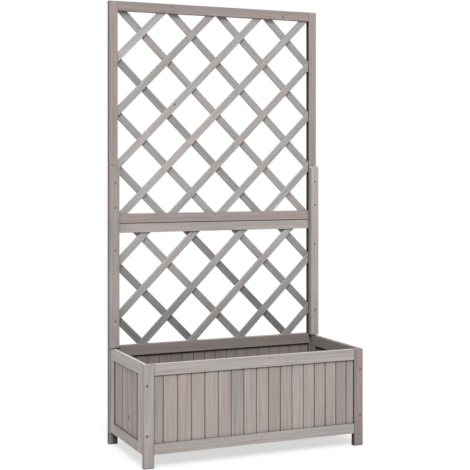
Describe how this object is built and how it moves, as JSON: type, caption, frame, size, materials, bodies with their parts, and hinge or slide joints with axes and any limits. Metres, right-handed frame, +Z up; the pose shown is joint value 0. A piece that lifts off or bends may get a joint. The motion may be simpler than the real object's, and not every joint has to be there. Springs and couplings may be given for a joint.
{
  "type": "planter with trellis",
  "caption": "Rectangular wooden planter box on four short legs, with a tall lattice trellis rising from its back in two spliced panels.",
  "frame": {"origin": "on the floor, at the middle of the footprint", "axes": "+X to the planter's right seen from the front, +Y from the front panel towards the trellis, +Z up"},
  "size_m": [0.708, 0.33, 1.35],
  "materials": {
    "frame_wood": "weathered grey wash, matt",
    "board_wood": "weathered grey wash, matt",
    "front_slat_wood": "weathered grey wash, matt",
    "back_slat_wood": "weathered grey wash, matt",
    "inner_wood": "weathered grey wash, matt",
    "screw_zinc": "dulled zinc"
  },
  "bodies": {
    "root": {"front_left_leg": "frame_wood", "left_front_stile": "frame_wood", "left_rear_stile": "frame_wood", "left_top_rail": "frame_wood", "left_bottom_rail": "frame_wood", "rear_left_leg": "frame_wood", "upper_left_stile": "frame_wood", "left_splice_batten": "frame_wood", "left_boarding": "board_wood", "front_left_lower_screw": "screw_zinc", "front_left_upper_screw": "screw_zinc", "front_right_leg": "frame_wood", "right_front_stile": "frame_wood", "right_rear_stile": "frame_wood", "right_top_rail": "frame_wood", "right_bottom_rail": "frame_wood", "rear_right_leg": "frame_wood", "upper_right_stile": "frame_wood", "right_splice_batten": "frame_wood", "right_boarding": "board_wood", "front_right_lower_screw": "screw_zinc", "front_right_upper_screw": "screw_zinc", "front_top_rail": "frame_wood", "front_bottom_rail": "frame_wood", "lower_trellis_top_rail": "frame_wood", "upper_bottom_rail": "frame_wood", "upper_top_rail": "frame_wood", "front_boarding": "board_wood", "rear_bottom_rail": "inner_wood", "rear_planter_rail": "inner_wood", "rear_boarding": "inner_wood", "front_floor_cleat": "inner_wood", "rear_floor_cleat": "inner_wood", "floor_boarding": "inner_wood", "lower_front_slat_1": "front_slat_wood", "lower_back_slat_1": "back_slat_wood", "lower_front_slat_2": "front_slat_wood", "lower_back_slat_2": "back_slat_wood", "lower_front_slat_3": "front_slat_wood", "lower_back_slat_3": "back_slat_wood", "lower_front_slat_4": "front_slat_wood", "lower_back_slat_4": "back_slat_wood", "lower_front_slat_5": "front_slat_wood", "lower_back_slat_5": "back_slat_wood", "lower_front_slat_6": "front_slat_wood", "lower_back_slat_6": "back_slat_wood", "upper_front_slat_1": "front_slat_wood", "upper_back_slat_1": "back_slat_wood", "upper_front_slat_2": "front_slat_wood", "upper_back_slat_2": "back_slat_wood", "upper_front_slat_3": "front_slat_wood", "upper_back_slat_3": "back_slat_wood", "upper_front_slat_4": "front_slat_wood", "upper_back_slat_4": "back_slat_wood", "upper_front_slat_5": "front_slat_wood", "upper_back_slat_5": "back_slat_wood", "upper_front_slat_6": "front_slat_wood", "upper_back_slat_6": "back_slat_wood", "upper_front_slat_7": "front_slat_wood", "upper_back_slat_7": "back_slat_wood"}
  },
  "joints": []
}
